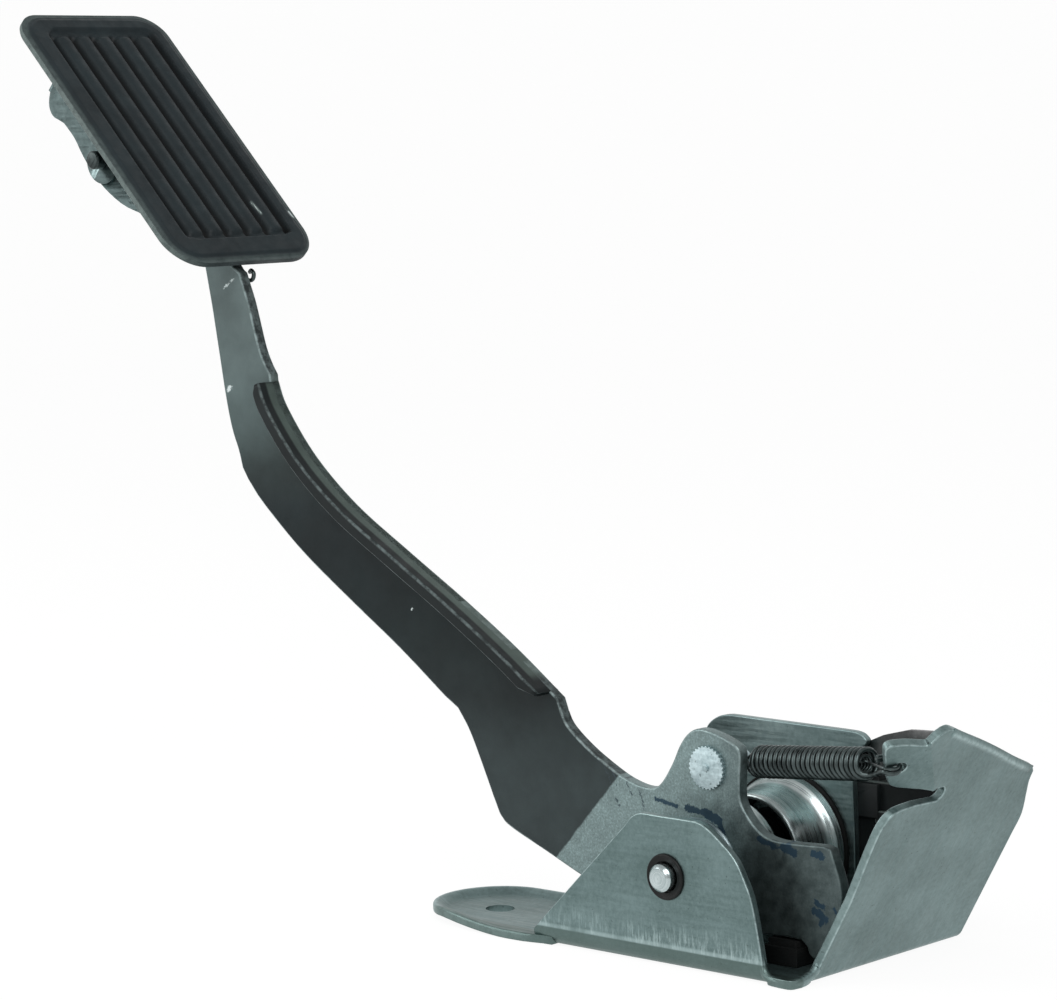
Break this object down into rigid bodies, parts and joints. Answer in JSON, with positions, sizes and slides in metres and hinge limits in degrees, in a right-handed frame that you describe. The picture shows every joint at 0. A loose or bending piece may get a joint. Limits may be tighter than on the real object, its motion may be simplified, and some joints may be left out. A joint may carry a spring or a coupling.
{
  "type": "accelerator pedal sensor",
  "caption": "Suspended accelerator pedal with ribbed hinged pad, sheet metal bracket, friction drum, return springs and a rotary position sensor on the pivot shaft.",
  "frame": {"origin": "centre of the tongue's stud hole on the mounting face, which is the underside of the base and tongue", "axes": "+X from the pad to the flap, +Y along the pivot axis from the near ear to the sensor, +Z out of the mounting face"},
  "size_m": [0.3544, 0.0946, 0.2786],
  "materials": {
    "zinc_bracket": "satin zinc plate on pressed sheet",
    "zinc_plate": "satin zinc plate",
    "black_strap": "black dip coat",
    "black_polymer": "moulded bearing polymer",
    "painted_arm": "satin black paint over phosphate",
    "bare_steel": "machined and oiled",
    "bright_steel": "polished plate",
    "bronze": "bearing bronze",
    "spring_steel": "dark oil finish",
    "friction_lining": "moulded friction lining",
    "spring_wire": "drawn wire, dark",
    "rubber_black": "moulded rubber",
    "housing_black": "glass filled polymer",
    "rotor_polymer": "natural acetal",
    "magnet": "bonded magnet",
    "circuit_board": "solder mask",
    "terminal_brass": "tinned brass",
    "seal_rubber": "silicone rubber",
    "pad_polymer": "moulded black polymer"
  },
  "bodies": {
    "bracket": {"bracket": "zinc_bracket", "rear_plate": "zinc_plate", "brace_strap": "black_strap", "near_bush": "black_polymer", "far_bush": "black_polymer", "damper_cup": "bright_steel", "cup_rivets": "bare_steel", "wave_washer": "spring_steel", "idle_stop": "rubber_black", "travel_stop": "rubber_black", "sensor_housing": "housing_black", "sensor_cover": "housing_black", "sensor_board": "circuit_board", "sensor_terminals": "terminal_brass", "sensor_seal": "seal_rubber", "sensor_screws": "bare_steel", "outer_spring": "spring_wire", "inner_spring": "spring_wire"},
    "pedal": {"pedal_arm": "painted_arm", "hub_collar": "bare_steel", "pivot_shaft": "bright_steel", "thrust_washer": "bronze", "shaft_clip": "spring_steel", "drive_drum": "bright_steel", "friction_disc": "friction_lining", "spring_stud": "bright_steel", "sensor_rotor": "rotor_polymer", "sensor_magnet": "magnet"},
    "pad": {"pad_carrier": "zinc_plate", "pad": "pad_polymer", "pad_pin": "spring_steel", "pad_spacer": "black_polymer", "pin_clip": "spring_steel", "pad_spring": "spring_wire"}
  },
  "joints": [
    {"name": "pedal_pivot", "type": "hinge", "parent": "bracket", "child": "pedal", "pos_m": [0.0838, -0.0031, 0.0261], "axis": [0, -1, 0], "range_deg": [0, 15.5], "stiffness_Nm_per_rad": 12, "springref_deg": -25.78, "deforming": ["outer_spring", "inner_spring"]},
    {"name": "pad_hinge", "type": "hinge", "parent": "pedal", "child": "pad", "pos_m": [-0.1575, -0.0031, 0.2312], "axis": [0, -1, 0], "range_deg": [0, 10], "stiffness_Nm_per_rad": 0.5, "springref_deg": -17.19, "deforming": ["pad_spring"]}
  ]
}
